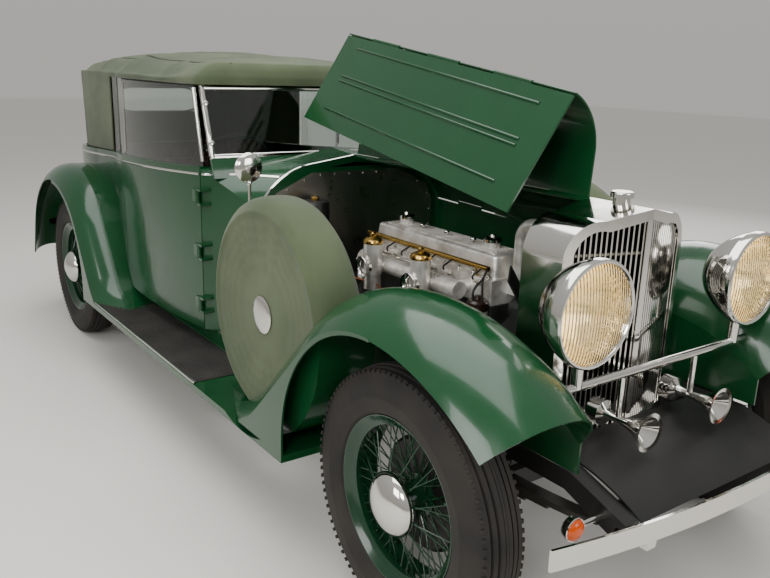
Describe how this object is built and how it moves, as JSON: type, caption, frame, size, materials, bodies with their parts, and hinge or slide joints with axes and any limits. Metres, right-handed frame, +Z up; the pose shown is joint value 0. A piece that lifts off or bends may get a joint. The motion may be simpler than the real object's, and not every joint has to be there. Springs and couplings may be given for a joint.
{
  "type": "vintage two-door drophead touring car",
  "caption": "Pre-war open-bonnet touring car with a V radiator, wire wheels, side-mounted spares, a fabric hood, opening doors and boot, and linked steering.",
  "frame": {"origin": "on the ground, midway between the front and rear ends, on the centre plane", "axes": "+X towards the front of the car, +Y to its left, +Z up"},
  "size_m": [4.7498, 1.736, 1.7324],
  "materials": {
    "green_paint": "gloss",
    "dark_paint": "satin",
    "wheel_green": "gloss",
    "bright_metal": "polished",
    "engine_alloy": "satin",
    "engine_iron": "satin",
    "steel": "satin",
    "tyre": "matte",
    "hood_cloth": "matte",
    "hide": "satin",
    "dark_wood": "gloss",
    "clear_glass": "gloss",
    "orange_lens": "gloss",
    "red_lens": "gloss",
    "board_rubber": "matte"
  },
  "bodies": {
    "chassis": {"bonnet_hinge_rod": "bright_metal", "bonnet_ledges": "dark_paint", "carburettors": "engine_alloy", "chassis_frame": "dark_paint", "dashboard": "dark_wood", "engine_block": "engine_iron", "engine_head": "engine_alloy", "exhaust": "engine_iron", "floor": "dark_paint", "front_apron": "green_paint", "front_axle": "steel", "front_bumper": "bright_metal", "front_seats": "hide", "front_wings": "green_paint", "fuel_tank": "dark_paint", "grille_slats": "bright_metal", "headlamp_lenses": "clear_glass", "headlamps": "bright_metal", "hood": "hood_cloth", "indicators": "orange_lens", "lamp_bar": "bright_metal", "leaf_springs": "steel", "mirrors": "bright_metal", "quarter_glass": "clear_glass", "radiator_core": "dark_paint", "radiator_shell": "bright_metal", "rear_axle": "steel", "rear_body": "green_paint", "rear_bumper": "bright_metal", "rear_seat": "hide", "rear_window": "clear_glass", "rear_wings": "green_paint", "running_boards": "board_rubber", "scuttle": "green_paint", "spare_covers": "hood_cloth", "steering_column": "dark_paint", "tail_lamps": "red_lens", "windscreen_frame": "bright_metal", "windscreen_glass": "clear_glass"},
    "wheel_front_left": {"wheel_front_left": "wheel_green", "tyre_front_left": "tyre"},
    "wheel_front_right": {"wheel_front_right": "wheel_green", "tyre_front_right": "tyre"},
    "wheel_rear_left": {"wheel_rear_left": "wheel_green", "tyre_rear_left": "tyre"},
    "wheel_rear_right": {"wheel_rear_right": "wheel_green", "tyre_rear_right": "tyre"},
    "knuckle_left": {"knuckle_left": "steel"},
    "knuckle_right": {"knuckle_right": "steel"},
    "track_rod": {"track_rod": "steel"},
    "steering_wheel": {"steering_wheel": "dark_paint"},
    "door_left": {"door_left": "green_paint", "door_glass_left": "clear_glass"},
    "door_right": {"door_right": "green_paint", "door_glass_right": "clear_glass"},
    "bonnet_top_left": {"bonnet_top_left": "green_paint"},
    "bonnet_side_left": {"bonnet_side_left": "green_paint"},
    "bonnet_top_right": {"bonnet_top_right": "green_paint"},
    "bonnet_side_right": {"bonnet_side_right": "green_paint"},
    "boot_lid": {"boot_lid": "green_paint"}
  },
  "joints": [
    {"name": "steer_left", "type": "hinge", "parent": "chassis", "child": "knuckle_left", "pos_m": [1.755, 0.59, 0.4], "axis": [0, 0, 1], "range_deg": [-26, 26]},
    {"name": "steer_right", "type": "hinge", "parent": "chassis", "child": "knuckle_right", "pos_m": [1.755, -0.59, 0.4], "axis": [0, 0, 1], "range_deg": [-26, 26]},
    {"name": "wheel_front_left_spin", "type": "hinge", "parent": "knuckle_left", "child": "wheel_front_left", "pos_m": [1.755, 0.71, 0.4], "axis": [0, 1, 0], "continuous": true},
    {"name": "wheel_rear_left_spin", "type": "hinge", "parent": "chassis", "child": "wheel_rear_left", "pos_m": [-1.445, 0.71, 0.4], "axis": [0, 1, 0], "continuous": true},
    {"name": "door_left_hinge", "type": "hinge", "parent": "chassis", "child": "door_left", "pos_m": [0.142, 0.656, 0.8], "axis": [0, 0, 1], "range_deg": [-65, 0]},
    {"name": "wheel_front_right_spin", "type": "hinge", "parent": "knuckle_right", "child": "wheel_front_right", "pos_m": [1.755, -0.71, 0.4], "axis": [0, 1, 0], "continuous": true},
    {"name": "wheel_rear_right_spin", "type": "hinge", "parent": "chassis", "child": "wheel_rear_right", "pos_m": [-1.445, -0.71, 0.4], "axis": [0, 1, 0], "continuous": true},
    {"name": "door_right_hinge", "type": "hinge", "parent": "chassis", "child": "door_right", "pos_m": [0.142, -0.656, 0.8], "axis": [0, 0, 1], "range_deg": [0, 65]},
    {"name": "track_rod_pivot", "type": "hinge", "parent": "knuckle_left", "child": "track_rod", "pos_m": [1.565, 0.59, 0.31], "axis": [0, 0, 1], "range_deg": [-26, 26]},
    {"name": "steering_wheel_turn", "type": "hinge", "parent": "chassis", "child": "steering_wheel", "pos_m": [-0.185, -0.34, 1.075], "axis": [0.9075, 0, -0.42], "range_deg": [-338, 338]},
    {"name": "bonnet_top_right_hinge", "type": "hinge", "parent": "chassis", "child": "bonnet_top_right", "pos_m": [0.386, 0, 1.211], "axis": [1, 0, 0], "range_deg": [0, 108.5]},
    {"name": "bonnet_side_right_hinge", "type": "hinge", "parent": "bonnet_top_right", "child": "bonnet_side_right", "pos_m": [0.386, -0.04898, 1.72944], "axis": [0.9892, -0.0394, -0.1413], "range_deg": [-80.5, 0]},
    {"name": "bonnet_top_left_hinge", "type": "hinge", "parent": "chassis", "child": "bonnet_top_left", "pos_m": [0.386, 0, 1.211], "axis": [1, 0, 0], "range_deg": [0, 38]},
    {"name": "bonnet_side_left_hinge", "type": "hinge", "parent": "bonnet_top_left", "child": "bonnet_side_left", "pos_m": [0.386, 0.47611, 1.00005], "axis": [0.9892, -0.1465, 0.0074], "range_deg": [-28.19, 0]},
    {"name": "boot_lid_hinge", "type": "hinge", "parent": "chassis", "child": "boot_lid", "pos_m": [-2.13533, 0, 0.98082], "axis": [0, 1, 0], "range_deg": [0, 70]}
  ],
  "couplings": [
    {"joint": "steer_right", "follows": "steer_left", "ratio": 1},
    {"joint": "track_rod_pivot", "follows": "steer_left", "ratio": -1},
    {"joint": "steering_wheel_turn", "follows": "steer_left", "ratio": -13},
    {"joint": "bonnet_side_right_hinge", "follows": "bonnet_top_right_hinge", "ratio": -0.74194},
    {"joint": "bonnet_side_left_hinge", "follows": "bonnet_top_left_hinge", "ratio": -0.74194}
  ]
}
